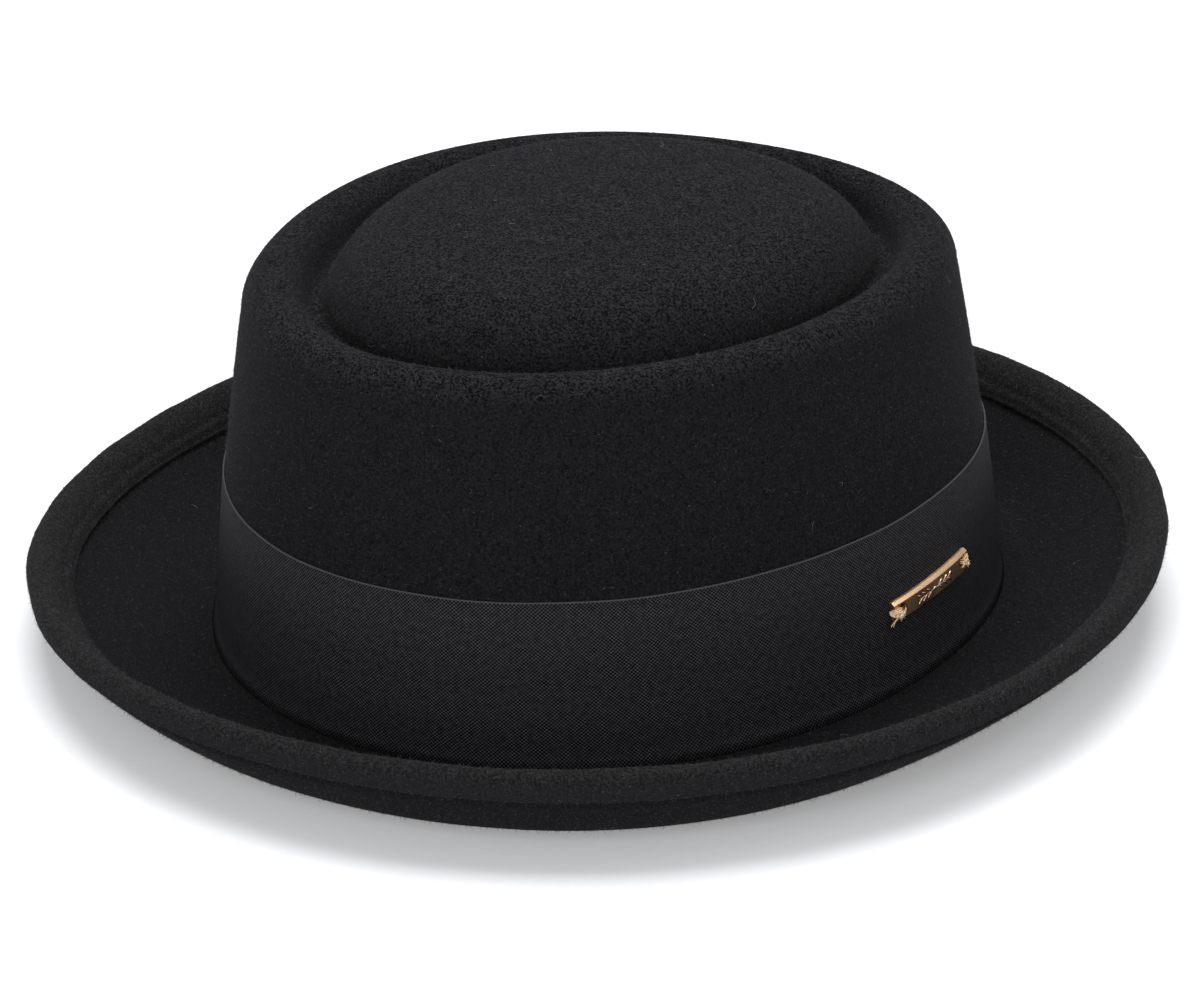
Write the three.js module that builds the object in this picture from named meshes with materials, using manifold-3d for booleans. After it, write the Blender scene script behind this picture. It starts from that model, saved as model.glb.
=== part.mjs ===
// A porkpie hat. One blocked felt body makes the crown, with a raised rim, a groove and a dome inside it, and
// the brim, whose edge turns up and is folded in and stitched as a hem. A ribbon goes round the foot of the
// crown, and a small curved metal bar is sewn to the ribbon on the wearer's left.
// Millimetres, +Z up, -Y the front, +X the wearer's left. The origin lies on the surface that the hat rests
// on, under the middle of the brim. Angles run round the oval from the wearer's left by the back.
import * as THREE from "three";
import { mergeVertices } from "three/addons/utils/BufferGeometryUtils.js";
import Module from "manifold-3d";

// Felt
const feltThickness = 2;

// Foot of the crown, measured over the felt
const footLength = 199.6;
const footWidth = 179.6;
const footFillet = 1;
const ovalFullness = 2.1; // 2 is a true ellipse
const footEgg = 0.06; // share by which the back quarters are wider and the front ones narrower
const rimEgg = 0.106;
const crownBack = 0.9; // the foot of the crown, back from the middle of the brim

// Crown, from the upper face of the brim
const crownHeight = 87.2;
const wallLean = 9.7; // inwards, up to where the rim starts to round
const wallBulge = 1; // outwards, halfway up
const sideLean = 1.6; // what the two sides lean in more than the ends
const forwardLean = 4.9; // how far the rim sits towards the front

// Rim, groove and dome, their places measured inwards from the top of the wall
const rimOuterRadius = 6.9;
const rimInnerRadius = 6.8;
const grooveInset = 16.5;
const grooveDepth = 8.5;
const grooveRadius = 2.3;
const flankSlope = 69; // degrees, of the groove's two sides
const domeShoulderRadius = 21.2;
const domeEdgeSlope = 6; // degrees, where the shoulder ends and the cap begins
const domeRise = 10.5; // the middle of the dome over the rim
const domeBack = 3.7; // what the dome sits less far forward than the rim

// Brim, from the foot of the crown to its outermost edge
const brimAtEnds = 39.1;
const brimAtSides = 43.1;
const brimFullness = 2.05; // of its oval
const restWidth = 7; // the flat ring round the head opening, on which the hat rests
const hemWidth = 10.9; // from the hem's cut edge out to the brim's edge
const hemSlope = 30; // degrees, where the brim starts to turn up
const hemLift = 13.1; // the most that the brim's underside rises by the hem's cut edge
const rollHeight = 21.5; // the highest middle of the rolled edge
const rollRadius = 2.8;
const lipReach = 2.2; // how far the hem's inner face keeps the brim's slope, behind its cut edge
const rollReach = 3.4; // how far in from the roll that face starts to round over
const creaseDepth = 0.6;

// How the brim rises round the hat: lift is a share of hemLift, roll of rollHeight
const brimRise = [
  { at: "left side", lift: 0.93, roll: 0.91 },
  { at: "left of the back", lift: 1, roll: 0.99 },
  { at: "back", lift: 0.99, roll: 1 },
  { at: "right of the back", lift: 0.76, roll: 0.91 },
  { at: "right side", lift: 0.67, roll: 0.79 },
  { at: "right of the front", lift: 0.79, roll: 0.81 },
  { at: "front", lift: 0.39, roll: 0.875 },
  { at: "left of the front", lift: 0.37, roll: 0.885 },
];

// Sections up the hem's outer face, from below its cut edge to the roll: dent is a share of creaseDepth
const hemSections = [
  { along: 0, dent: 0 },
  { along: 0.24, dent: 0 },
  { along: 0.46, dent: 0 },
  { along: 0.65, dent: 0.15 },
  { along: 0.72, dent: 1 },
  { along: 0.79, dent: 0.15 },
  { along: 0.9, dent: 0 },
  { along: 1, dent: 0 },
];

// Ribbon
const ribbonWidth = 38;
const ribbonThickness = 1;
const ribbonGap = 0.3;
const ribbonBed = 0.8; // how deep the ribbon presses into the felt
const lapAngle = 168; // degrees, the middle of the lap join on the wearer's right
const lapLength = 24;

// Metal bar
const barLength = 30;
const barHeight = 4.5;
const barThickness = 1.4;
const barBevel = 0.4;
const barGap = 0.3;
const barLift = 18.8; // its middle, up from the ribbon's lower edge
const barForward = 3.1; // its middle, from the hat's widest place towards the front
const barTilt = 2.3; // degrees, up towards the back
const barHoleRadius = 0.8;
const barHoleInset = 2.6;

// Fineness
const columns = 64;
const barSteps = 12;
const holeSides = 16;

const radians = THREE.MathUtils.degToRad;
const v2 = (x, y) => new THREE.Vector2(x, y);
const footRadius = (footLength + footWidth) / 4;
const footSpread = (footLength - footWidth) / 4;
const rimTop = feltThickness + crownHeight;
const wallTop = rimTop - rimOuterRadius;
const wallFoot = feltThickness + footFillet;
const ribbonFoot = wallFoot + ribbonGap;
const ribbonTop = ribbonFoot + ribbonWidth;
const bedTop = ribbonTop + ribbonGap;
const bedMiddle = (wallFoot + bedTop) / 2;

// ---- the oval ----

function power(value, exponent) {
  return Math.sign(value) * Math.abs(value) ** exponent;
}

// Turns a place in the section, a mean radius and a height, into a point round the oval.
function onOval(angle, radius, height) {
  const onBrim = THREE.MathUtils.clamp((radius - footRadius) / brimAtEnds, 0, 1);
  const onCap = Math.min(1, radius / capRadius);
  const onTop = THREE.MathUtils.clamp((wallTopRadius - radius) / (wallTopRadius - capRadius), 0, 1);
  const rise = THREE.MathUtils.clamp((height - feltThickness) / crownHeight, 0, 2) * (1 - onBrim);
  const egg = THREE.MathUtils.lerp(footEgg, rimEgg, rise) * (1 - onBrim);
  const exponent = 2 / THREE.MathUtils.lerp(ovalFullness, brimFullness, onBrim);
  const side = power(Math.cos(angle), exponent);
  const back = power(Math.sin(angle), exponent);
  const across = radius - (footSpread + sideLean * rise) * onCap;
  const along = radius + footSpread * onCap;
  const shift = crownBack * (1 - onBrim) - forwardLean * rise + domeBack * onTop;
  return new THREE.Vector3(across * side * (1 + egg * back), along * back + shift, height);
}

// ---- the crown's section ----

// The mean radius of the wall's outer face at a height, with the ribbon's bed pressed in.
function wallRadius(height) {
  const share = (height - wallFoot) / (wallTop - wallFoot);
  const bed = height > bedTop ? 0 : ribbonBed;
  return footRadius - bed - wallLean * share + 4 * wallBulge * share * (1 - share);
}

// Points of an arc, by the slope in degrees at which the felt runs: 0 is level and 90 is upright.
function slopeArc(middle, radius, from, to, steps) {
  return Array.from({ length: steps + 1 }, (_, i) => {
    const slope = radians(THREE.MathUtils.lerp(from, to, i / steps));
    return v2(middle.x + radius * Math.sin(slope), middle.y + radius * Math.cos(slope));
  });
}

const flankReach = Math.sin(radians(flankSlope));
const wallTopRadius = footRadius - wallLean;
const grooveMiddle = v2(wallTopRadius - grooveInset, rimTop - grooveDepth + grooveRadius);
const shoulderMiddleRadius = grooveMiddle.x - grooveRadius * flankReach - domeShoulderRadius * flankReach;
const capRadius = shoulderMiddleRadius + domeShoulderRadius * Math.sin(radians(domeEdgeSlope));
const capRise = (capRadius * Math.tan(radians(domeEdgeSlope))) / 2;
const shoulderTop = rimTop + domeRise - capRise;
const shoulderMiddle = v2(
  shoulderMiddleRadius,
  shoulderTop - domeShoulderRadius * Math.cos(radians(domeEdgeSlope)),
);

// The outer face of the felt, from the middle of the dome out and down to the foot of the wall.
function crownFace() {
  const cap = [0, 0.3, 0.65].map((share) =>
    v2(capRadius * share, shoulderTop + capRise * (1 - share * share)),
  );
  const shoulder = slopeArc(shoulderMiddle, domeShoulderRadius, domeEdgeSlope, flankSlope, 6);
  const groove = slopeArc(grooveMiddle, -grooveRadius, flankSlope, -flankSlope, 4);
  const rimMiddle = v2(wallTopRadius - rimOuterRadius, rimTop - rimInnerRadius);
  const rimInner = slopeArc(rimMiddle, rimInnerRadius, -flankSlope, 0, 4);
  const rimOuter = slopeArc(v2(rimMiddle.x, wallTop), rimOuterRadius, 0, 90, 4).slice(1);
  const wallRows = [(bedTop + wallTop) / 2, bedTop + ribbonBed, bedTop, bedMiddle, wallFoot];
  const wall = wallRows.map((height) => v2(wallRadius(height), height));
  return [...cap, ...shoulder, ...groove, ...rimInner, ...rimOuter, ...wall];
}

// The same line set in by the felt's thickness, along its normals.
function setIn(line, thickness) {
  return line.map((point, i) => {
    const before = line[Math.max(i - 1, 0)];
    const after = line[Math.min(i + 1, line.length - 1)];
    const run = after.clone().sub(before).normalize();
    const inside = v2(-run.y, run.x).multiplyScalar(-thickness);
    return v2(i === 0 ? 0 : point.x + inside.x, point.y + inside.y);
  });
}

// ---- the brim's section ----

// A value from one column of the brim's table, run smoothly round the hat.
function roundBrim(column, angle) {
  const count = brimRise.length;
  const place = (angle / (2 * Math.PI)) * count;
  const row = Math.floor(place);
  const at = (i) => brimRise[(row + i + count) % count][column];
  const [a, b, c, d] = [at(-1), at(0), at(1), at(2)];
  const t = place - row;
  return b + (t * (c - a + t * (2 * a - 5 * b + 4 * c - d + t * (3 * (b - c) + d - a)))) / 2;
}

// The underside from the flat ring out to the hem's cut edge, then up the outer face to the roll.
function brimCurves(angle) {
  const slope = Math.tan(radians(hemSlope));
  const width = THREE.MathUtils.lerp(brimAtSides, brimAtEnds, Math.sin(angle) ** 2);
  const edge = footRadius + width;
  const roll = rollHeight * roundBrim("roll", angle);
  const start = v2(footRadius + restWidth, 0);
  const cut = v2(
    edge - hemWidth + 2 * feltThickness * Math.sin(radians(hemSlope)),
    hemLift * roundBrim("lift", angle),
  );
  const third = (cut.x - start.x) / 3;
  const turn = (edge - cut.x) / 2;
  return {
    flat: new THREE.CubicBezierCurve(
      start,
      v2(start.x + third, 0),
      v2(cut.x - third, cut.y - slope * third),
      cut,
    ),
    turnUp: new THREE.CubicBezierCurve(
      cut,
      v2(cut.x + turn, cut.y + slope * turn),
      v2(edge, roll - turn),
      v2(edge, roll),
    ),
  };
}

// A point off a curve, to the side that looks up and in.
function offCurve(curve, share, distance) {
  const run = curve.getTangent(share);
  return curve.getPoint(share).add(v2(-run.y, run.x).multiplyScalar(distance));
}

// The hem's inner face, from its cut edge up to the top of the roll.
function hemInside(lip, rollTop) {
  const slope = radians(hemSlope);
  return new THREE.CubicBezierCurve(
    lip,
    v2(lip.x + lipReach * Math.cos(slope), lip.y + lipReach * Math.sin(slope)),
    v2(rollTop.x - rollReach, rollTop.y),
    rollTop,
  );
}

function brimFaces(angle) {
  const { flat, turnUp } = brimCurves(angle);
  const shares = [0, 0.35, 0.7];
  const upper = shares.map((share) => offCurve(flat, share, feltThickness));
  const cutFoot = offCurve(turnUp, 0, feltThickness);
  const rollMiddle = turnUp.getPoint(1).sub(v2(rollRadius, 0));
  const rollTop = v2(rollMiddle.x, rollMiddle.y + rollRadius);
  const inner = hemInside(offCurve(turnUp, 0, 2 * feltThickness), rollTop).getPoints(8);
  const roll = slopeArc(rollMiddle, rollRadius, 0, 60, 3).slice(1);
  const outer = hemSections.map(({ along, dent }) => offCurve(turnUp, along, creaseDepth * dent));
  const under = shares.map((share) => flat.getPoint(share));
  return [...upper, cutFoot, ...inner, ...roll, ...outer.reverse(), ...under.reverse()];
}

// ---- felt body ----

function feltSection(angle) {
  const face = crownFace();
  const inside = setIn(face, feltThickness).slice(0, -1);
  const lining = inside.filter((_, i) => i % 2 === 0);
  const foot = footRadius + footFillet;
  const innerFoot = [v2(foot, 0), v2(wallRadius(wallFoot) - feltThickness, wallFoot)];
  return [...face, v2(foot, feltThickness), ...brimFaces(angle), ...innerFoot, ...lining.reverse()];
}

// A ring or shell turned like a lathe's work, with each column of the turning laid out by its own section. The
// sections run down the outside, and a lathe takes its profile upwards.
function turned(sectionAt, angles, place) {
  const upwards = (angle) => sectionAt(angle).reverse();
  const rows = upwards(angles[0]).length;
  const geometry = new THREE.LatheGeometry(upwards(angles[0]), angles.length - 1);
  const position = geometry.getAttribute("position");
  angles.forEach((angle, column) => {
    upwards(angle).forEach((point, row) => {
      position.setXYZ(column * rows + row, ...place(angle, point.x, point.y).toArray());
    });
  });
  return geometry;
}

function evenAngles() {
  return Array.from({ length: columns + 1 }, (_, i) => (i / columns) * 2 * Math.PI);
}

// ---- ribbon ----

function lapReach() {
  return lapLength / 2 / footRadius;
}

function ribbonSection(angle) {
  const inLap = Math.abs(angle - radians(lapAngle)) < lapReach();
  const outside = ribbonGap + ribbonThickness * (inLap ? 2 : 1);
  const heights = [ribbonFoot, bedMiddle, ribbonTop];
  const inner = heights.map((height) => v2(wallRadius(height) + ribbonGap, height));
  const outer = heights.map((height) => v2(wallRadius(height) + outside, height));
  return [outer[0], ...inner, ...outer.reverse()];
}

// Even columns, with a close pair at each end of the lap.
function ribbonAngles() {
  const step = (ribbonThickness / footRadius) * 0.3;
  const ends = [-1, 1].map((side) => radians(lapAngle) + side * lapReach());
  const pairs = ends.flatMap((end) => [end - step, end + step]);
  const even = evenAngles().filter((angle) => ends.every((end) => Math.abs(angle - end) > 4 * step));
  return [...even, ...pairs].sort((a, b) => a - b);
}

// ---- metal bar ----

// A point by the bar: along the ribbon from the bar's middle, up from it, and out from the ribbon's face.
function onRibbon(along, up, out) {
  const height = ribbonFoot + barLift + up + along * Math.tan(radians(barTilt));
  const radius = wallRadius(height) + ribbonGap + ribbonThickness + out;
  return onOval((along - barForward) / (radius + footSpread), radius, height);
}

function barPlate() {
  const geometry = new THREE.BoxGeometry(barLength, barHeight, barThickness, barSteps, 1, 2);
  const position = geometry.getAttribute("position");
  for (let i = 0; i < position.count; i++) {
    const [x, y, z] = [position.getX(i), position.getY(i), position.getZ(i)];
    const inFront = z > barThickness / 4;
    const inMiddle = Math.abs(z) < barThickness / 4;
    const inset = inFront ? barBevel : 0;
    const out = barGap + (inMiddle ? barThickness - barBevel : z + barThickness / 2);
    const along = x * (1 - (2 * inset) / barLength);
    position.setXYZ(i, ...onRibbon(along, y * (1 - (2 * inset) / barHeight), out).toArray());
  }
  return geometry;
}

function barHole(side) {
  const along = side * (barLength / 2 - barHoleInset);
  const inner = onRibbon(along, 0, barGap - barThickness);
  const outer = onRibbon(along, 0, barGap + 2 * barThickness);
  const out = outer.clone().sub(inner);
  const drill = new THREE.CylinderGeometry(barHoleRadius, barHoleRadius, out.length(), holeSides);
  drill.applyQuaternion(
    new THREE.Quaternion().setFromUnitVectors(new THREE.Vector3(0, 1, 0), out.clone().normalize()),
  );
  return drill.translate(...inner.add(outer).multiplyScalar(0.5).toArray());
}

// ---- solids ----

const wasm = await Module();
wasm.setup();

function solidOf(geometry) {
  const bare = geometry.clone();
  bare.deleteAttribute("normal");
  bare.deleteAttribute("uv");
  const merged = mergeVertices(bare, 1e-4);
  const vertProperties = merged.getAttribute("position").array;
  return new wasm.Manifold(
    new wasm.Mesh({ numProp: 3, vertProperties, triVerts: new Uint32Array(merged.index.array) }),
  );
}

function geometryOf(solid) {
  const { vertProperties, triVerts } = solid.getMesh();
  const geometry = new THREE.BufferGeometry();
  geometry.setAttribute("position", new THREE.BufferAttribute(vertProperties, 3));
  geometry.setIndex(new THREE.BufferAttribute(triVerts, 1));
  return geometry;
}

function feltBody() {
  return turned(feltSection, evenAngles(), onOval);
}

function hatBand() {
  return turned(ribbonSection, ribbonAngles(), onOval);
}

function metalBar() {
  const drilled = [-1, 1].reduce((plate, side) => plate.subtract(solidOf(barHole(side))), solidOf(barPlate()));
  return geometryOf(drilled);
}

// ---- the hat ----

const felt = { color: 0x1e1e20, roughness: 0.95, metalness: 0 };
const ribbon = { color: 0x232325, roughness: 0.7, metalness: 0 };
const roseGold = { color: 0xcfa384, roughness: 0.3, metalness: 1 };

const hat = new THREE.Group();
for (const [name, geometry, finish] of [
  ["felt_body", feltBody(), felt],
  ["hat_band", hatBand(), ribbon],
  ["metal_bar", metalBar(), roseGold],
]) {
  const mesh = new THREE.Mesh(geometry, new THREE.MeshStandardMaterial(finish));
  mesh.name = name;
  hat.add(mesh);
}

export default hat;
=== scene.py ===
import math
import random
import bmesh
import bpy
from mathutils import Matrix, Vector, noise


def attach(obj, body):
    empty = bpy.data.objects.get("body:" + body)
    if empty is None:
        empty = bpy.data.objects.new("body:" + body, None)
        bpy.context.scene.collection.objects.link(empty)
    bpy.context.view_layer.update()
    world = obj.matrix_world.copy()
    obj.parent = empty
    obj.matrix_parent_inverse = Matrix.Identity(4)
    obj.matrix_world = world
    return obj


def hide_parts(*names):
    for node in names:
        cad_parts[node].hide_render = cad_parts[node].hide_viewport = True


# A porkpie hat of black wool felt, with a ribbon round its crown and a small metal bar sewn to it.
# Shapes are worked out in millimetres, and a finished mesh is in metres.

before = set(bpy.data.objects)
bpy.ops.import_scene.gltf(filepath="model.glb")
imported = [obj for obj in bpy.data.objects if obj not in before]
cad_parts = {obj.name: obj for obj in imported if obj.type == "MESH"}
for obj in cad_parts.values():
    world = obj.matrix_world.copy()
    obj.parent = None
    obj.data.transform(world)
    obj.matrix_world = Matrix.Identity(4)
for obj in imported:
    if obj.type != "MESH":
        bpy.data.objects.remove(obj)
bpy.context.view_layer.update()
print("frame loaded")


def linearColour(hexValue):
    channels = [int(hexValue[i:i + 2], 16) / 255 for i in (1, 3, 5)]
    linear = [c / 12.92 if c < 0.04045 else ((c + 0.055) / 1.055) ** 2.4 for c in channels]
    return (*linear, 1)


def mix(low, high, share):
    return low + (high - low) * share


def clamp(value, low=0, high=1):
    return max(low, min(high, value))


def shares(count):
    return [i / count for i in range(count + 1)]


# A soft swell of 1 at a place, which fades over the width to each side.
def swellAt(value, place, width):
    return math.exp(-((value - place) / width) ** 2)


def newMaterial(name):
    material = bpy.data.materials.new(name)
    material.use_nodes = True
    return material, material.node_tree, material.node_tree.nodes["Principled BSDF"]


# Inputs hold plain values, or the sockets to link from.
def setInputs(tree, node, inputs):
    for key, value in inputs.items():
        if isinstance(value, bpy.types.NodeSocket):
            tree.links.new(value, node.inputs[key])
        else:
            node.inputs[key].default_value = value


def addNode(tree, kind, inputs=None, **settings):
    node = tree.nodes.new(kind)
    for key, value in settings.items():
        setattr(node, key, value)
    setInputs(tree, node, inputs or {})
    return node


def showMesh(name, bm):
    mesh = bpy.data.meshes.new(name)
    bm.to_mesh(mesh)
    bm.free()
    shown = bpy.data.objects.new(name, mesh)
    bpy.context.scene.collection.objects.link(shown)
    return shown


# The mesh that an object's modifiers, or its curve, make. The object itself is removed.
def bakeMesh(source):
    bpy.context.view_layer.update()
    evaluated = source.evaluated_get(bpy.context.evaluated_depsgraph_get())
    mesh = bpy.data.meshes.new_from_object(evaluated)
    bpy.data.objects.remove(source)
    return mesh


def finishPiece(name, bm, material, slotName, *nodes):
    bmesh.ops.scale(bm, vec=(0.001, 0.001, 0.001), verts=bm.verts)
    for face in bm.faces:
        face.smooth = True
    piece = showMesh(name, bm)
    piece.data.materials.clear()
    piece.data.materials.append(material)
    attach(piece, "root")
    if nodes:
        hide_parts(*nodes)
    return piece


# The hat's form, with the numbers of the part's source.
form = {
    "footRadius": 94.8, "footSpread": 5.0, "footFillet": 1.0, "footEgg": 0.06, "rimEgg": 0.106,
    "ovalFullness": 2.1, "crownBack": 0.9, "crownHeight": 87.2, "wallLean": 9.7, "wallBulge": 1.0,
    "sideLean": 1.6, "forwardLean": 4.9, "rimOuterRadius": 6.9, "rimInnerRadius": 6.8,
    "grooveInset": 16.5, "grooveDepth": 8.5, "grooveRadius": 2.3, "flankSlope": 69,
    "domeShoulderRadius": 21.2, "domeEdgeSlope": 6, "domeRise": 10.5, "domeBack": 3.7,
    "feltThickness": 2.0, "brimAtEnds": 39.1, "brimAtSides": 43.1, "brimFullness": 2.05,
    "restWidth": 7.0, "hemWidth": 10.9, "hemSlope": 30, "hemLift": 13.1, "rollHeight": 21.5,
    "rollRadius": 2.8, "lipReach": 2.2, "rollReach": 3.4,
    # the brim's rise, from the wearer's left round by the back, as shares of hemLift and rollHeight
    "lifts": [0.93, 1, 0.99, 0.76, 0.67, 0.79, 0.39, 0.37],
    "rolls": [0.91, 0.99, 1, 0.91, 0.79, 0.81, 0.875, 0.885],
}

flankReach = math.sin(math.radians(form["flankSlope"]))
edgeReach = math.sin(math.radians(form["domeEdgeSlope"]))
rimTop = form["feltThickness"] + form["crownHeight"]
wallTop = rimTop - form["rimOuterRadius"]
wallFoot = form["feltThickness"] + form["footFillet"]
wallTopRadius = form["footRadius"] - form["wallLean"]
grooveHeight = rimTop - form["grooveDepth"] + form["grooveRadius"]
grooveMiddle = (wallTopRadius - form["grooveInset"], grooveHeight)
shoulderRadius = grooveMiddle[0] - (form["grooveRadius"] + form["domeShoulderRadius"]) * flankReach
capRadius = shoulderRadius + form["domeShoulderRadius"] * edgeReach
capRise = capRadius * math.tan(math.radians(form["domeEdgeSlope"])) / 2
shoulderTop = rimTop + form["domeRise"] - capRise
shoulderDrop = form["domeShoulderRadius"] * math.sqrt(1 - edgeReach ** 2)
shoulderMiddle = (shoulderRadius, shoulderTop - shoulderDrop)


def power(value, exponent):
    return math.copysign(abs(value) ** exponent, value)


# Turns a mean radius and a height into a point round the oval. Angles start at the wearer's left.
def onOval(angle, radius, height):
    onBrim = clamp((radius - form["footRadius"]) / form["brimAtEnds"])
    onCap = min(1, radius / capRadius)
    onTop = clamp((wallTopRadius - radius) / (wallTopRadius - capRadius))
    rise = clamp((height - form["feltThickness"]) / form["crownHeight"], 0, 2) * (1 - onBrim)
    egg = mix(form["footEgg"], form["rimEgg"], rise) * (1 - onBrim)
    exponent = 2 / mix(form["ovalFullness"], form["brimFullness"], onBrim)
    side, back = power(math.cos(angle), exponent), power(math.sin(angle), exponent)
    across = radius - (form["footSpread"] + form["sideLean"] * rise) * onCap
    along = radius + form["footSpread"] * onCap
    shift = form["crownBack"] * (1 - onBrim) - form["forwardLean"] * rise
    shift += form["domeBack"] * onTop
    return Vector((across * side * (1 + egg * back), along * back + shift, height))


def wallRadius(height):
    share = (height - wallFoot) / (wallTop - wallFoot)
    bulge = 4 * form["wallBulge"] * share * (1 - share)
    return form["footRadius"] - form["wallLean"] * share + bulge


# Points of an arc by the slope in degrees at which the felt runs: 0 is level and 90 is upright.
def slopeArc(middle, radius, low, high, steps):
    slopes = [math.radians(mix(low, high, share)) for share in shares(steps)]
    return [(middle[0] + radius * math.sin(s), middle[1] + radius * math.cos(s)) for s in slopes]


# A value of a table run smoothly round the hat.
def roundBrim(table, angle):
    place = (angle / (2 * math.pi) % 1) * len(table)
    row = int(place)
    a, b, c, d = [table[(row + i) % len(table)] for i in (-1, 0, 1, 2)]
    t = place - row
    return b + t * (c - a + t * (2 * a - 5 * b + 4 * c - d + t * (3 * (b - c) + d - a))) / 2


def bezierPoint(points, share):
    rest = 1 - share
    weights = (rest ** 3, 3 * rest ** 2 * share, 3 * rest * share ** 2, share ** 3)
    return tuple(sum(w * p[axis] for w, p in zip(weights, points)) for axis in (0, 1))


# A point off the curve, to the side that looks up and in.
def offCurve(points, share, distance):
    rest = 1 - share
    steps = [(q[0] - p[0], q[1] - p[1]) for p, q in zip(points, points[1:])]
    weights = (rest ** 2, 2 * rest * share, share ** 2)
    run = [sum(w * s[axis] for w, s in zip(weights, steps)) for axis in (0, 1)]
    spot, length = bezierPoint(points, share), math.hypot(*run)
    return spot[0] - run[1] / length * distance, spot[1] + run[0] / length * distance


# The hem's inner face, from its cut edge up to the top of the roll.
def hemInside(lip, rollTop):
    slope = math.radians(form["hemSlope"])
    reach = form["lipReach"]
    level = (lip[0] + reach * math.cos(slope), lip[1] + reach * math.sin(slope))
    return [lip, level, (rollTop[0] - form["rollReach"], rollTop[1]), rollTop]


def brimCurves(angle):
    slope = math.tan(math.radians(form["hemSlope"]))
    brimWidth = mix(form["brimAtSides"], form["brimAtEnds"], math.sin(angle) ** 2)
    edge = form["footRadius"] + brimWidth
    roll = form["rollHeight"] * roundBrim(form["rolls"], angle)
    start = (form["footRadius"] + form["footFillet"] + form["restWidth"] - 1, 0)
    overlap = 2 * form["feltThickness"] * math.sin(math.radians(form["hemSlope"]))
    cut = (edge - form["hemWidth"] + overlap, form["hemLift"] * roundBrim(form["lifts"], angle))
    third, turn = (cut[0] - start[0]) / 3, (edge - cut[0]) / 2
    flat = [start, (start[0] + third, 0), (cut[0] - third, cut[1] - slope * third), cut]
    turnUp = [cut, (cut[0] + turn, cut[1] + slope * turn), (edge, roll - turn), (edge, roll)]
    return flat, turnUp


# The felt keeps the soft unevenness of a blocked hat, and what lies on it follows.
unevenness = {"depth": 0.22, "length": 38}


def sagAt(spot):
    return noise.noise(spot / unevenness["length"]) * unevenness["depth"] * clamp(spot.z / 6)


# The felt body: crown and brim in one piece, with its edge folded in and stitched down as a hem.
feltBody = {
    "columns": 300,
    # the line that the hidden stitches pull in along the hem's outer face, and the swell above it
    "creaseDepth": 0.75, "creasePlace": 0.71, "creaseWidth": 0.042,
    "swellRise": 0.3, "swellOffset": 0.09, "swellWidth": 0.05,
    "stitchPitch": 5.5, "stitchReach": 1.43,
    # the hem's cut edge is pressed down, with a shallow valley behind it
    "cutSink": 0.85, "cutReach": 0.17, "cutRounding": 0.45,
    "valleyDepth": 0.3, "valleyPlace": 0.34, "valleyWidth": 0.09,
    # the hem is turned by hand
    "hemWander": 0.32, "hemWanderLength": 17,
    "hemRipple": 0.12, "hemRippleLength": 3.1,
    # how the wall turns into the brim: outside under the ribbon, and inside down to the table
    "outerFoot": (0.65, 0.25),
    "innerFoot": [(0, 0), (1.2, 0.25), (2.4, 1.2), (2.95, 2.6)],
}

# What each row of the section is, for the fibres that stand on it and for the painted shade on the
# flat brim.
bareFelt, crownFelt, flatFelt, hemFelt = 0, 1, 2, 3


def crownFace():
    flank, level = form["flankSlope"], form["domeEdgeSlope"]
    cap = [(capRadius * s, shoulderTop + capRise * (1 - s * s)) for s in shares(12)[:-1]]
    shoulder = slopeArc(shoulderMiddle, form["domeShoulderRadius"], level, flank, 16)
    groove = slopeArc(grooveMiddle, -form["grooveRadius"], flank, -flank, 10)
    rimMiddle = (wallTopRadius - form["rimOuterRadius"], rimTop - form["rimInnerRadius"])
    rimInner = slopeArc(rimMiddle, form["rimInnerRadius"], -flank, 0, 12)
    rimOuter = slopeArc((rimMiddle[0], wallTop), form["rimOuterRadius"], 0, 90, 14)[1:]
    heights = [mix(wallTop, wallFoot, s) for s in shares(22)[1:]]
    wall = [(wallRadius(height), height) for height in heights]
    return cap + shoulder + groove + rimInner + rimOuter + wall


def setIn(line, thickness):
    inside = []
    for i, (x, z) in enumerate(line):
        before, after = line[max(i - 1, 0)], line[min(i + 1, len(line) - 1)]
        run = (after[0] - before[0], after[1] - before[1])
        length = math.hypot(*run)
        across = 0 if i == 0 else x + run[1] / length * thickness
        inside.append((across, z - run[0] / length * thickness))
    return inside
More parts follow.
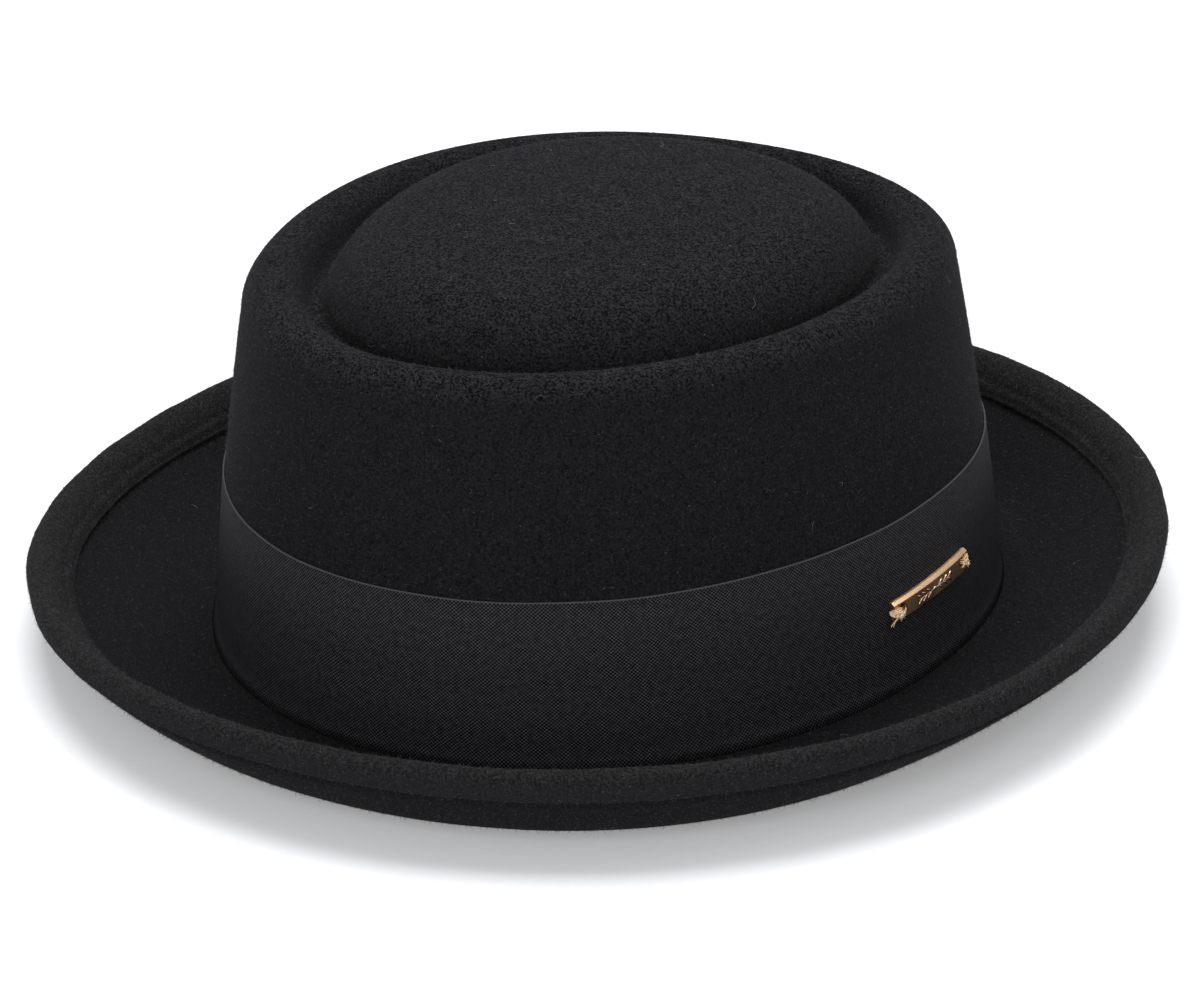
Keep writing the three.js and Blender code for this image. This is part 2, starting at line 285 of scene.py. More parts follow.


# The brim's faces. Each point has its hem share, which sets how far the hem wanders and how much
# painted light it gets, and the kind of felt.
def brimFaces(angle):
    flat, turnUp = brimCurves(angle)
    felt, rounding = form["feltThickness"], feltBody["cutRounding"]
    sinkAtCut, crease = feltBody["cutSink"], feltBody["creasePlace"]
    stitches = angle * form["footRadius"] * feltBody["stitchReach"] / feltBody["stitchPitch"]
    pull = feltBody["creaseDepth"] * (0.85 + 0.25 * math.cos(2 * math.pi * round(stitches, 4)))
    tip = bezierPoint(turnUp, 1)
    rollMiddle = (tip[0] - form["rollRadius"], tip[1])
    rollTop = (rollMiddle[0], rollMiddle[1] + form["rollRadius"])
    inside = hemInside(offCurve(turnUp, 0, 2 * felt), rollTop)
    inner, outer = [], []
    for s in shares(30):
        valley = swellAt(s, feltBody["valleyPlace"], feltBody["valleyWidth"])
        sink = sinkAtCut * swellAt(s, 0, feltBody["cutReach"]) + feltBody["valleyDepth"] * valley
        inner.append(offCurve(inside, mix(0.03, 1, s), -sink) + (1, hemFelt))
    # the outer face has more rows by the line of the stitches
    places = [mix(0.03, 0.6, s) for s in shares(16)] + [mix(0.6, 0.82, s) for s in shares(16)[1:]]
    places += [mix(0.82, 1, s) for s in shares(5)[1:]]
    for s in places:
        dent = pull * swellAt(s, crease, feltBody["creaseWidth"])
        swell = swellAt(s, crease + feltBody["swellOffset"], feltBody["swellWidth"])
        # the hem share grows towards the top of the roll: the hem wanders more there and gets more
        # painted light
        hemShare = mix(0.2, 0.9, clamp((s - 0.7) * 9))
        outer.append(offCurve(turnUp, s, dent - feltBody["swellRise"] * swell) + (hemShare, hemFelt))
    upper = [offCurve(flat, s, felt) + (0, flatFelt) for s in shares(16)[:-1]]
    cut = [offCurve(turnUp, 0, felt) + (0.3, flatFelt),
           offCurve(turnUp, 0.008, felt + 0.2) + (0.8, hemFelt),
           offCurve(turnUp, 0.008, 2 * felt - sinkAtCut - rounding) + (1, hemFelt)]
    roll = [spot + (1, hemFelt) for spot in slopeArc(rollMiddle, form["rollRadius"], 0, 84, 8)[1:]]
    under = [bezierPoint(flat, s) + (0, bareFelt) for s in shares(16)[:-1]]
    return upper + cut + inner + roll + outer[::-1] + under[::-1]


def feltSection(angle, crown, ribbonTop):
    face = [(x, z, 0, crownFelt if z > ribbonTop + 1 else bareFelt) for x, z in crown]
    lining = [(x, z, 0, bareFelt) for x, z in setIn(crown, form["feltThickness"])[::2]]
    foot, felt = form["footRadius"] + form["footFillet"], form["feltThickness"]
    inward, upward = feltBody["outerFoot"]
    fillet = [(foot - inward, felt + upward, 0, bareFelt), (foot, felt, 0, flatFelt)]
    innerFoot = [(foot - x, z, 0, bareFelt) for x, z in feltBody["innerFoot"]]
    return face + fillet + brimFaces(angle) + innerFoot + lining[:-1][::-1]


# A row of vertices a millimetre apart is spun round, and each vertex then moves to its place in
# its section.
def buildFeltBody(material):
    crown = crownFace()
    ribbonTop = hatRibbon["foot"] + hatRibbon["width"]
    rowCount = len(feltSection(0, crown, ribbonTop))
    bm = bmesh.new()
    hemLayer = bm.verts.layers.float.new("hem")
    kindLayer = bm.verts.layers.float.new("feltKind")
    row = [bm.verts.new((i + 1, 0, 0)) for i in range(rowCount)]
    edges = [bm.edges.new(pair) for pair in zip(row, row[1:])]
    bmesh.ops.spin(bm, geom=row + edges, cent=(0, 0, 0), axis=(0, 0, 1), angle=2 * math.pi,
                   steps=feltBody["columns"], use_merge=True)
    angles = [i / feltBody["columns"] * 2 * math.pi for i in range(feltBody["columns"])]
    sections = [feltSection(angle, crown, ribbonTop) for angle in angles]
    for vert in bm.verts:
        turn = math.atan2(vert.co.y, vert.co.x) / (2 * math.pi)
        column = round(turn * feltBody["columns"]) % feltBody["columns"]
        spot = sections[column][round(vert.co.length) - 1]
        radius, height, vert[hemLayer], vert[kindLayer] = spot
        vert.co = onOval(angles[column], radius, height)
    bmesh.ops.remove_doubles(bm, verts=bm.verts, dist=0.001)
    bmesh.ops.recalc_face_normals(bm, faces=bm.faces)
    if bm.calc_volume(signed=True) < 0:
        bmesh.ops.reverse_faces(bm, faces=bm.faces)
    bm.normal_update()
    for vert in bm.verts:
        wander = noise.noise(vert.co / feltBody["hemWanderLength"]) * feltBody["hemWander"]
        ripple = noise.noise(vert.co / feltBody["hemRippleLength"]) * feltBody["hemRipple"]
        vert.co += vert.normal * (sagAt(vert.co) + (wander + ripple) * vert[hemLayer])
    return finishPiece("feltBody", bm, material, "felt", "felt_body")


# Wool fibres that stand out of the felt. Each is a three-sided spike, leant at random.
feltNap = {
    "crownFibres": 49000, "flatFibres": 24000, "hemFibres": 49000,
    "length": 0.95, "radius": 0.036,
    "shortest": 0.35, "longest": 1.4,      # shares of the length
    "thinnest": 0.7, "thickest": 1.2,      # shares of the radius
    "leastLean": 30, "mostLean": 86,       # degrees from upright
}


def buildNap(name, hat, kind, fibres, material):
    kinds = hat.data.attributes["feltKind"].data
    area = sum(face.area for face in hat.data.polygons
               if abs(kinds[face.vertices[0]].value - kind) < 0.1)
    tree = bpy.data.node_groups.new(name, "GeometryNodeTree")
    for way in ("INPUT", "OUTPUT"):
        tree.interface.new_socket("Geometry", in_out=way, socket_type="NodeSocketGeometry")
    felt = addNode(tree, "NodeGroupInput").outputs[0]
    feltKind = addNode(tree, "GeometryNodeInputNamedAttribute", {"Name": "feltKind"},
                       data_type="FLOAT").outputs[0]
    here = addNode(tree, "FunctionNodeCompare", {"A": feltKind, "B": float(kind), "Epsilon": 0.1},
                   data_type="FLOAT", operation="EQUAL").outputs[0]
    roots = addNode(tree, "GeometryNodeDistributePointsOnFaces", {
        "Mesh": felt, "Selection": here, "Density": fibres / area, "Seed": kind})
    lean = addNode(tree, "FunctionNodeRandomValue", {
        "Min": (math.radians(feltNap["leastLean"]), 0, 0),
        "Max": (math.radians(feltNap["mostLean"]), 0, 2 * math.pi),
        "Seed": kind + 2}, data_type="FLOAT_VECTOR").outputs[0]
    leanTurn = addNode(tree, "FunctionNodeEulerToRotation", {0: lean}).outputs[0]
    turn = addNode(tree, "FunctionNodeRotateRotation", {
        "Rotation": roots.outputs["Rotation"], "Rotate By": leanTurn}, rotation_space="LOCAL")
    size = addNode(tree, "FunctionNodeRandomValue", {
        "Min": (feltNap["thinnest"], feltNap["thinnest"], feltNap["shortest"]),
        "Max": (feltNap["thickest"], feltNap["thickest"], feltNap["longest"]),
        "Seed": kind + 4}, data_type="FLOAT_VECTOR").outputs[0]
    spike = addNode(tree, "GeometryNodeMeshCone", {
        "Vertices": 3, "Radius Top": 0.0, "Radius Bottom": feltNap["radius"] / 1000,
        "Depth": feltNap["length"] / 1000})
    fibresOn = addNode(tree, "GeometryNodeInstanceOnPoints", {
        "Points": roots.outputs["Points"], "Instance": spike.outputs["Mesh"],
        "Rotation": turn.outputs[0], "Scale": size})
    whole = addNode(tree, "GeometryNodeRealizeInstances", {0: fibresOn.outputs[0]})
    addNode(tree, "NodeGroupOutput", {0: whole.outputs[0]})
    carrier = bpy.data.objects.new("carrier", hat.data.copy())
    bpy.context.scene.collection.objects.link(carrier)
    carrier.modifiers.new("fibres", "NODES").node_group = tree
    piece = bpy.data.objects.new(name, bakeMesh(carrier))
    bpy.context.scene.collection.objects.link(piece)
    piece.data.materials.clear()
    piece.data.materials.append(material)
    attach(piece, "root")
    return piece


# The ribbon: one strip laid round the crown, with its ends lapped on the wearer's right.
hatRibbon = {
    "foot": wallFoot - 0.9,
    "width": 39.2,
    "proud": 0.5,          # its face over the felt above it
    "thickness": 0.4,
    "flare": 0.9,          # outwards, where its lower edge meets the brim
    "flareHeight": 4.5,
    "lapAngle": 168,
    "lapLength": 24.0,
    "lapRise": 0.5,
    "lapFade": 0.04,       # radians over which the upper end comes down
    "selvedge": 0.2, "selvedgeRow": 0.35, "selvedgeRise": 0.09,
    "wave": 0.06,          # how unevenly it lies on the felt
    "edgeWander": 0.25,
    "alongSteps": 560, "upSteps": 18, "lengthSteps": 720,
}


def ribbonSpot(angle, up, out):
    height = hatRibbon["foot"] + up
    flare = hatRibbon["flare"] * clamp(1 - up / hatRibbon["flareHeight"]) ** 2
    radius = wallRadius(height) + hatRibbon["proud"] + flare + out
    return onOval(angle, radius + sagAt(onOval(angle, radius, height)), height)


def buildRibbon(material):
    reach = hatRibbon["lapLength"] / 2 / form["footRadius"]
    start = math.radians(hatRibbon["lapAngle"]) - reach
    whole = 2 * math.pi + 2 * reach
    width, steps = hatRibbon["width"], hatRibbon["lengthSteps"]
    ring = [ribbonSpot(start + whole * s, width / 2, 0) for s in shares(steps)]
    lengths = [0]
    for low, high in zip(ring, ring[1:]):
        lengths.append(lengths[-1] + (high - low).length)
    bm = bmesh.new()
    bmesh.ops.create_grid(bm, x_segments=hatRibbon["alongSteps"], y_segments=hatRibbon["upSteps"],
                          size=0.5)
    bmesh.ops.bisect_plane(bm, geom=bm.verts[:] + bm.edges[:] + bm.faces[:], plane_no=(0, 1, 0),
                           plane_co=(0, 0.5 - hatRibbon["selvedgeRow"] / width, 0))
    weave = bm.loops.layers.uv.new("weave")
    for face in bm.faces:
        for loop in face.loops:
            along, up = loop.vert.co.x + 0.5, loop.vert.co.y + 0.5
            step = min(int(along * steps), steps - 1)
            length = mix(lengths[step], lengths[step + 1], along * steps - step)
            loop[weave].uv = (length / 1000, up * width / 1000)
    fade = hatRibbon["lapFade"]
    for vert in bm.verts:
        along, up = vert.co.x + 0.5, (vert.co.y + 0.5) * width
        angle = start + whole * along
        east, north = math.cos(angle), math.sin(angle)
        lapped = clamp((along * whole - 2 * math.pi + fade) / fade) * hatRibbon["lapRise"]
        wave = noise.noise(Vector((east, north, up / 60)) * 3) * hatRibbon["wave"]
        selvedge = hatRibbon["selvedgeRise"] if up > width - hatRibbon["selvedge"] else 0
        vert.co = ribbonSpot(angle, up, lapped + selvedge + wave)
        vert.co.z += noise.noise(Vector((east, north, 5)) * 4) * hatRibbon["edgeWander"]
    bm.normal_update()
    if sum(face.normal.dot(face.calc_center_median()) for face in bm.faces) < 0:
        bmesh.ops.reverse_faces(bm, faces=bm.faces)
    ribbon = finishPiece("hatRibbon", bm, material, "ribbon", "hat_band")
    thickness = ribbon.modifiers.new("thickness", "SOLIDIFY")
    thickness.thickness = hatRibbon["thickness"] / 1000
    thickness.offset = -1


# The bar: a plate cut flat, bevelled, drilled, and then bent to the ribbon.
metalBar = {
    "length": 30.0, "height": 4.5, "thickness": 1.4,
    "gap": 0.12, "lift": 20.0, "forward": 3.1, "tilt": 2.3,
    "topChamfer": 0.64, "edgeBevel": 0.1,
    "holeRadius": 1.15, "holeInset": 2.9, "holeBevel": 0.3,
    "bendCuts": 44,
    # the angles between faces, in radians, from which an edge is bevelled or shaded as sharp
    "bevelFrom": 0.6, "rimFrom": 1.2, "sharpFrom": 0.2,
}


# A point by the bar: along the ribbon from the bar's middle, up from it, and out from the ribbon.
def barSpot(along, up, out):
    tilt = along * math.tan(math.radians(metalBar["tilt"]))
    height = hatRibbon["foot"] + metalBar["lift"] + up + tilt
    face = wallRadius(height) + hatRibbon["proud"]
    angle = (along - metalBar["forward"]) / (face + form["footSpread"])
    radius = face + out
    return onOval(angle, radius + sagAt(onOval(angle, radius, height)), height)


def bevelEdges(bm, edges, offset, **rounding):
    bmesh.ops.bevel(bm, geom=edges, offset=offset, affect="EDGES", material=-1, **rounding)


def buildBar(material):
    plate = bmesh.new()
    length, thickness = metalBar["length"], metalBar["thickness"]
    bmesh.ops.create_cube(plate, size=1)
    bmesh.ops.scale(plate, vec=(length, metalBar["height"], thickness), verts=plate.verts)
    upperEdge = [edge for edge in plate.edges if all(v.co.y > 0 and v.co.z > 0 for v in edge.verts)]
    bevelEdges(plate, upperEdge, metalBar["topChamfer"], segments=1)
    plate.normal_update()
    corners = [edge for edge in plate.edges if edge.calc_face_angle(0) > metalBar["bevelFrom"]]
    bevelEdges(plate, corners, metalBar["edgeBevel"], segments=3, profile=0.5)
    for share in shares(metalBar["bendCuts"])[1:-1]:
        bmesh.ops.bisect_plane(plate, geom=plate.verts[:] + plate.edges[:] + plate.faces[:],
                               plane_no=(1, 0, 0), plane_co=(mix(-0.5, 0.5, share) * length, 0, 0))
    drill = bmesh.new()
    for side in (-1, 1):
        place = Matrix.Translation((side * (length / 2 - metalBar["holeInset"]), 0, 0))
        bmesh.ops.create_cone(drill, cap_ends=True, segments=32, radius1=metalBar["holeRadius"],
                              radius2=metalBar["holeRadius"], depth=4, matrix=place)
    plateObject, drillObject = showMesh("plate", plate), showMesh("drill", drill)
    plateObject.modifiers.new("holes", "BOOLEAN").object = drillObject
    bm = bmesh.new()
    bm.from_mesh(bakeMesh(plateObject))
    bpy.data.objects.remove(drillObject)
    rims = [edge for edge in bm.edges if edge.calc_face_angle(0) > metalBar["rimFrom"]]
    bevelEdges(bm, rims, metalBar["holeBevel"], segments=3, profile=0.5)
    for vert in bm.verts:
        vert.co = barSpot(vert.co.x, vert.co.y, vert.co.z + thickness / 2 + metalBar["gap"])
    bmesh.ops.recalc_face_normals(bm, faces=bm.faces)
    for edge in bm.edges:
        edge.smooth = edge.calc_face_angle(0) < metalBar["sharpFrom"]
    finishPiece("metalBar", bm, material, "rose_gold", "metal_bar")


# The bar's raised ornament: a plain sprig, alike to both sides of a bead.
barSprig = {
    "leafPlaces": [2.1, 3.9, 5.7], "leafLength": 1.9, "leafWidth": 0.5, "leafTurn": 36,
    "leafOverlap": 0.7,    # how far a leaf's root goes under the one before
    "stemLength": 13.2, "stemWidth": 0.2, "beadRadius": 0.5,
    "leafRise": 0.17, "stemRise": 0.102, "beadRise": 0.221,
    "drop": 0.45,          # below the middle of the bar
}


def buildSprig(material):
    bm = bmesh.new()
    halfLeaf = barSprig["leafLength"] / 2
    leaf = (halfLeaf, barSprig["leafWidth"] / 2, barSprig["leafRise"])
    stem = (barSprig["stemLength"] / 2, barSprig["stemWidth"] / 2, barSprig["stemRise"])
    bead = (barSprig["beadRadius"], barSprig["beadRadius"], barSprig["beadRise"])
    parts = [(stem, Matrix()), (bead, Matrix())]
    for side in (-1, 1):
        for place in barSprig["leafPlaces"]:
            root = Matrix.Translation((side * (place - barSprig["leafOverlap"]), 0, 0))
            for up in (-1, 1):
                spread = Matrix.Rotation(math.radians(barSprig["leafTurn"]) * up * side, 4, "Z")
                parts.append((leaf, root @ spread @ Matrix.Translation((side * halfLeaf, 0, 0))))
    for size, place in parts:
        drop = bmesh.ops.create_uvsphere(bm, u_segments=14, v_segments=7, radius=1)
        bmesh.ops.scale(bm, vec=size, verts=drop["verts"])
        bmesh.ops.transform(bm, matrix=place, verts=drop["verts"])
    face = metalBar["thickness"] + metalBar["gap"]
    for vert in bm.verts:
        vert.co = barSpot(vert.co.x, vert.co.y - barSprig["drop"], vert.co.z + face)
    bmesh.ops.recalc_face_normals(bm, faces=bm.faces)
    finishPiece("barSprig", bm, material, "rose_gold")


# Makes round threads of strands. A strand is its points in millimetres and its share of the radius.
def buildStrands(name, strands, radius, material, slotName):
    curve = bpy.data.curves.new(name, "CURVE")
    curve.dimensions = "3D"
    curve.bevel_depth = radius
    curve.bevel_resolution = 1
    curve.resolution_u = 4
    curve.use_fill_caps = True
    for points, weight in strands:
        spline = curve.splines.new("NURBS")
        spline.points.add(len(points) - 1)
        spline.use_endpoint_u = True
        spline.order_u = 3
        for spot, point in zip(points, spline.points):
            point.co = (*spot, 1)
            point.radius = weight
    loose = bpy.data.objects.new(name, curve)
    bpy.context.scene.collection.objects.link(loose)
    bm = bmesh.new()
    bm.from_mesh(bakeMesh(loose))
    finishPiece(name, bm, material, slotName)


# Cream cotton holds the bar down through its holes. It is knotted in a bundle at the front end.
barThread = {
    "radius": 0.1,
    # wraps at the front and at the back hole: side, number, lowest, highest and most lift
    "wraps": [(-1, 8, -1.2, 0.6, 0.8), (1, 4, -1.1, 0.9, 0.35)],
    "knotTurns": 11, "knotSteps": 7, "knotStep": 1.05,
    "frays": 90, "frayWeight": 0.25, "frayed": 13,
}


def buildBarThread(material):
    random.seed(11)
    hole = metalBar["length"] / 2 - metalBar["holeInset"]
    top = metalBar["thickness"] + metalBar["gap"]
    strands = []
    for side, wraps, low, high, most in barThread["wraps"]:
        for i in range(wraps):
            up = mix(low, high, i / (wraps - 1))
            loose = [random.uniform(-0.3, 0.3) for _ in range(4)]
            lift = random.uniform(0.15, most)
            spots = [(hole + 0.2, up * 0.4, 0.5),
                     (hole + 0.6, up * 0.5 + loose[0], top + 0.1),
                     (hole + 1.5, up + loose[1], top + lift),
                     (hole + 2.6, up * 1.1 + loose[2], top + lift),
                     (hole + 3.3, up * 0.6 - 0.2 + loose[3], 0.9),
                     (hole + 3.2, up * 0.4 - 0.2, 0.2)]
            strands.append(([(side * along, rise, out) for along, rise, out in spots], 1))
    for i in range(barThread["knotTurns"]):
        along, rise = -hole - random.uniform(1.5, 2.9), random.uniform(-1.4, 0.0)
        out = top + random.uniform(0.2, 0.8)
        spin, tilt, size = [random.uniform(*ends) for ends in ((0, 6.3), (-0.6, 0.6), (0.35, 0.7))]
        turns = [spin + step * barThread["knotStep"] for step in range(barThread["knotSteps"])]
        loop = [(along + size * math.cos(turn), rise + size * math.sin(turn) * 0.9,
                 out + math.sin(turn + tilt) * 0.3) for turn in turns]
        strands.append((loop, 1))
    # two cut ends hang from the knot
    strands.append(([(-14.8, -1.1, top + 0.5), (-15.6, -1.7, top + 0.2), (-15.9, -2.4, 1.2),
                     (-16.2, -3.1, 0.9)], 1))
    strands.append(([(-15.0, -1.3, top + 0.4), (-15.4, -2.0, top), (-15.7, -2.7, 1.3),
                     (-15.7, -3.3, 1.1)], 0.8))
    for i in range(barThread["frays"]):
        along, rise, out = random.choice(random.choice(strands[:barThread["frayed"]])[0][1:4])
        drift = [random.uniform(-0.7, 0.7) for _ in range(6)]
        middle = (along + drift[0], rise + drift[1], out + abs(drift[2]) * 0.6)
        end = (middle[0] + drift[3], middle[1] + drift[4], out + 0.1)
        strands.append(([(along, rise, out), middle, end], barThread["frayWeight"]))
    placed = [([barSpot(*spot) for spot in points], weight) for points, weight in strands]
    buildStrands("barThread", placed, barThread["radius"], material, "ribbon")


# A few pale lint fibres cling to the felt.
lint = {"fibres": 110, "radius": 0.03, "shortest": 0.5, "longest": 2.6}


def buildLint(hat, material):
    random.seed(23)
    kinds = hat.data.attributes["feltKind"].data
    rough = [face for face in hat.data.polygons if kinds[face.vertices[0]].value > 0.5]
    roots = random.choices(rough, weights=[face.area for face in rough], k=lint["fibres"])
    strands = []
    for root in roots:
        across = root.normal.orthogonal().normalized()
        across.rotate(Matrix.Rotation(random.uniform(0, 6.28), 3, root.normal))
        aside = root.normal.cross(across)
        length = random.uniform(lint["shortest"], lint["longest"])
        bend, lift = random.uniform(-0.4, 0.4) * length, random.uniform(0.1, 0.5)
        spots = [root.center * 1000 + across * length * (s - 0.5) + aside * bend * 4 * s * (1 - s)
                 + root.normal * (0.05 + lift * s) for s in shares(4)]
        strands.append((spots, random.uniform(0.6, 1)))
    buildStrands("lint", strands, lint["radius"], material, "felt")


# The first output of a math node on plain values, or on the sockets to link from.
def calc(tree, operation, *values, **settings):
    node = addNode(tree, "ShaderNodeMath", dict(enumerate(values)), operation=operation, **settings)
    return node.outputs[0]


def objectPlace(tree):
    return addNode(tree, "ShaderNodeTexCoord").outputs["Object"]


def noiseAt(tree, place, scale, detail=2, roughness=0.5):
    return addNode(tree, "ShaderNodeTexNoise", {
        "Vector": place, "Scale": scale, "Detail": detail, "Roughness": roughness}).outputs["Fac"]


def mapRange(tree, value, start, end, low=0, high=1):
    ends = {"From Min": start, "From Max": end, "To Min": low, "To Max": high}
    return addNode(tree, "ShaderNodeMapRange", {"Value": value, **ends}).outputs[0]


# Mixes two colours, each a hex value or a socket.
def mixColours(tree, share, low, high):
    low, high = [linearColour(end) if isinstance(end, str) else end for end in (low, high)]
    return addNode(tree, "ShaderNodeMix", {"Factor": share, "A": low, "B": high},
                   data_type="RGBA").outputs["Result"]


def bumpFrom(tree, height, strength, distance):
    return addNode(tree, "ShaderNodeBump", {
        "Height": height, "Strength": strength, "Distance": distance}).outputs[0]


# Wool felt, blocked, its nap raised by a brush: a dull black with a grainy short nap, darkened as
# painted shade on the flat brim.
# The grain is drawn at 0.6 mm, about the size of the tufts that the fibres clump into. It stands
# out most where the felt looks up, and on the hem, which is lightened as painted light.
def feltMaterial():
    material, tree, shader = newMaterial("blocked wool felt")
    spot = addNode(tree, "ShaderNodeTexCoord")
    place = spot.outputs["Object"]
    hem = addNode(tree, "ShaderNodeAttribute", attribute_name="hem").outputs["Fac"]
    kind = addNode(tree, "ShaderNodeAttribute", attribute_name="feltKind").outputs["Fac"]
    onBrim = calc(tree, "GREATER_THAN", kind, 1.5)
    flat = calc(tree, "SUBTRACT", onBrim, hem, use_clamp=True)
    upward = addNode(tree, "ShaderNodeSeparateXYZ", {0: spot.outputs["Normal"]}).outputs[2]
    standing = calc(tree, "MULTIPLY_ADD", hem, 0.5, upward)
    raised = calc(tree, "SUBTRACT", standing, flat, use_clamp=True)
    nap = noiseAt(tree, place, 1700, 3, 0.75)
    tufts = noiseAt(tree, place, 500, 2, 0.6)
    blend = addNode(tree, "ShaderNodeMix", {"Factor": 0.14, "A": nap, "B": tufts}).outputs[0]
    lowest = mapRange(tree, raised, 0, 1, 0.28, 0.464)
    highest = mapRange(tree, raised, 0, 1, 0.74, 0.562)
    wool = mixColours(tree, mapRange(tree, blend, lowest, highest), "#010102", "#232224")
    # Painted shade: the flat brim between the crown and the hem is mixed towards black.
    brimShade = mixColours(tree, calc(tree, "MULTIPLY", flat, 0.4), wool, "#020203")
    # Painted light: the hem and its roll are mixed towards a paler grey, most towards the top of
    # the roll.
    hemLight = mixColours(tree, calc(tree, "MULTIPLY", hem, 0.3), brimShade, "#272727")
    flecks = addNode(tree, "ShaderNodeTexVoronoi", {"Vector": place, "Scale": 330})
    small = calc(tree, "LESS_THAN", flecks.outputs["Distance"], 0.048)
    linted = mixColours(tree, calc(tree, "MULTIPLY", small, 0.55), hemLight, "#616064")
    setInputs(tree, shader, {
        "Base Color": linted, "Normal": bumpFrom(tree, blend, 0.6, 0.0003),
        "Roughness": 0.95, "Specular IOR Level": 0.05,
        "Sheen Weight": 0.014, "Sheen Roughness": 0.5, "Sheen Tint": linearColour("#c6c4c8")})
    return material


# Single wool fibres: the same dye, paler because the light comes through each one.
def fibreMaterial(name, dark, pale):
    material, tree, shader = newMaterial(name)
    share = mapRange(tree, noiseAt(tree, objectPlace(tree), 900, 1), 0.35, 0.7)
    setInputs(tree, shader, {"Base Color": mixColours(tree, share, dark, pale),
                             "Roughness": 0.85, "Specular IOR Level": 0.15})
    return material


# Rayon ribbon in a fine plain weave, a little brighter than the felt, with a thin pale selvedge.
ribbonWeave = {"alongPitch": 0.92, "acrossPitch": 0.82}


def ribbonMaterial():
    material, tree, shader = newMaterial("woven rayon ribbon")
    place = addNode(tree, "ShaderNodeUVMap", uv_map="weave").outputs[0]
    axes = addNode(tree, "ShaderNodeSeparateXYZ", {0: place}).outputs
    along = calc(tree, "MULTIPLY", axes[0], 2000 * math.pi / ribbonWeave["alongPitch"])
    upward = calc(tree, "MULTIPLY", axes[1], 2000 * math.pi / ribbonWeave["acrossPitch"])
    warp, weft = calc(tree, "SINE", along), calc(tree, "SINE", upward)
    height = mapRange(tree, calc(tree, "MULTIPLY", warp, weft), -0.45, 0.6)
    uneven = mapRange(tree, noiseAt(tree, place, 700, 3, 0.7), 0.3, 0.7, 0.35, 1.1)
    tone = calc(tree, "MULTIPLY", height, uneven)
    thread = mixColours(tree, tone, "#010102", "#48474b")
    edge = calc(tree, "GREATER_THAN", axes[1], (hatRibbon["width"] - hatRibbon["selvedge"]) / 1000)
    setInputs(tree, shader, {
        "Base Color": mixColours(tree, edge, thread, "#454549"),
        "Normal": bumpFrom(tree, tone, 0.6, 0.0003), "Roughness": 0.6, "Specular IOR Level": 0.08})
    return material


# Rose-gold plate: satin on the face, smoother where handling has polished it, with rubbing marks.
def roseGoldMaterial(name, dark, pale, roughness):
    material, tree, shader = newMaterial(name)
    rub = noiseAt(tree, objectPlace(tree), 140, 3, 0.6)
    setInputs(tree, shader, {
        "Base Color": mixColours(tree, rub, dark, pale), "Metallic": 1,
        "Roughness": mapRange(tree, rub, 0.3, 0.7, roughness - 0.05, roughness + 0.07),
        "Normal": bumpFrom(tree, rub, 0.03, 0.0001)})
    return material


# Cream cotton sewing thread: dull, fuzzy and a little uneven.
def threadMaterial():
    material, tree, shader = newMaterial("cream cotton thread")
    ply = noiseAt(tree, objectPlace(tree), 2200, 3)
    setInputs(tree, shader, {"Base Color": mixColours(tree, ply, "#f0c795", "#fff4dc"),
                             "Roughness": 0.8})
    return material


hat = buildFeltBody(feltMaterial())
print("felt body built", len(hat.data.polygons), "faces")
napFibre = fibreMaterial("dyed wool fibre", "#141416", "#4e4e53")
crownNap = buildNap("crownNap", hat, crownFelt, feltNap["crownFibres"], napFibre)
flatNap = buildNap("flatNap", hat, flatFelt, feltNap["flatFibres"], napFibre)
hemNap = buildNap("hemNap", hat, hemFelt, feltNap["hemFibres"], napFibre)
print("nap built", [len(piece.data.polygons) for piece in (crownNap, flatNap, hemNap)], "faces")
buildRibbon(ribbonMaterial())
print("ribbon built")
buildBar(roseGoldMaterial("satin rose gold plate", "#e6b589", "#ffdab4", 0.33))
buildSprig(roseGoldMaterial("polished rose gold", "#f3cdae", "#ffe2c6", 0.18))
buildBarThread(threadMaterial())
buildLint(hat, fibreMaterial("pale lint", "#424246", "#8c8c91"))
print("bar, sprig, thread and lint built")

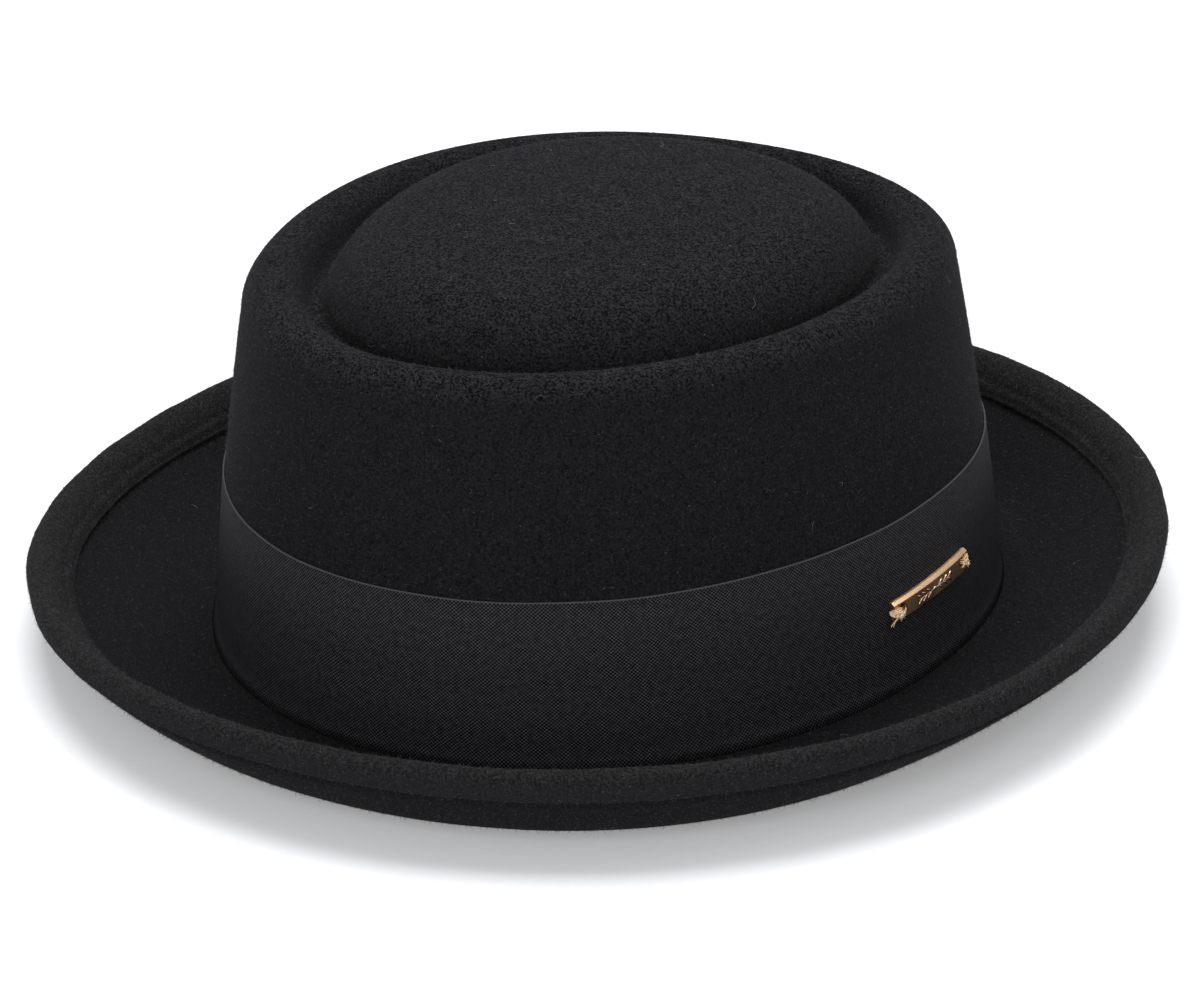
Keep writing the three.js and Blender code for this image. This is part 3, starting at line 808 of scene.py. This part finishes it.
# The studio: the camera of the photograph, three softboxes, and pale paper on a lit table.
studio = {
    "cameraSpot": (0.4387, -0.7752, 0.4132),
    "right": (0.8731, 0.4874, -0.0133),
    "up": (-0.1845, 0.3555, 0.9163),
    "sensor": 36,
    "focalShare": 4077 / 1200,     # of the picture's width
    "worldLight": 0.48,
    # place, width and power: over the hat, under the camera, and one that the bar mirrors
    "softBoxes": [((-0.2, 0.36, 1.3), 1.0, 27), ((0.35, -1.0, 0.5), 0.7, 6),
                  ((0.79, 0.45, 0.87), 0.45, 1.3)],
    "tableGlow": 0.24,
}

# Matt pale studio paper with a fine pulp grain.
floorPaper, floorTree, floorShader = newMaterial("pale studio paper")
floorGrain = noiseAt(floorTree, objectPlace(floorTree), 600)
setInputs(floorTree, floorShader, {
    "Base Color": mixColours(floorTree, floorGrain, "#cccdd0", "#d1d2d5"),
    "Roughness": 0.9, "Specular IOR Level": 0.1,
    "Emission Color": linearColour("#ffffff"), "Emission Strength": studio["tableGlow"]})

floorMesh = bmesh.new()
bmesh.ops.create_grid(floorMesh, x_segments=1, y_segments=1, size=6)
floor = showMesh("floor", floorMesh)
floor.data.materials.append(floorPaper)

world = bpy.data.worlds.new("studio")
world.use_nodes = True
setInputs(world.node_tree, world.node_tree.nodes["Background"], {
    "Color": linearColour("#ffffff"), "Strength": studio["worldLight"]})
bpy.context.scene.world = world
bpy.context.scene.view_settings.view_transform = "Standard"

for number, (spot, size, watts) in enumerate(studio["softBoxes"]):
    lamp = bpy.data.lights.new("softBox%d" % number, "AREA")
    lamp.size = size
    lamp.energy = watts
    softBox = bpy.data.objects.new("softBox%d" % number, lamp)
    softBox.location = spot
    softBox.rotation_euler = Vector(spot).to_track_quat("Z", "Y").to_euler()
    bpy.context.scene.collection.objects.link(softBox)

cameraData = bpy.data.cameras.new("camera")
cameraData.lens = studio["focalShare"] * studio["sensor"]
cameraData.sensor_width = studio["sensor"]
cameraData.sensor_fit = "HORIZONTAL"
cameraData.clip_start = 0.01
camera = bpy.data.objects.new("camera", cameraData)
rightAxis = Vector(studio["right"]).normalized()
backAxis = rightAxis.cross(Vector(studio["up"])).normalized()
upAxis = backAxis.cross(rightAxis)
cameraTurn = Matrix((rightAxis, upAxis, backAxis)).transposed().to_4x4()
camera.matrix_world = Matrix.Translation(studio["cameraSpot"]) @ cameraTurn
bpy.context.scene.collection.objects.link(camera)
bpy.context.scene.camera = camera
print("studio built")
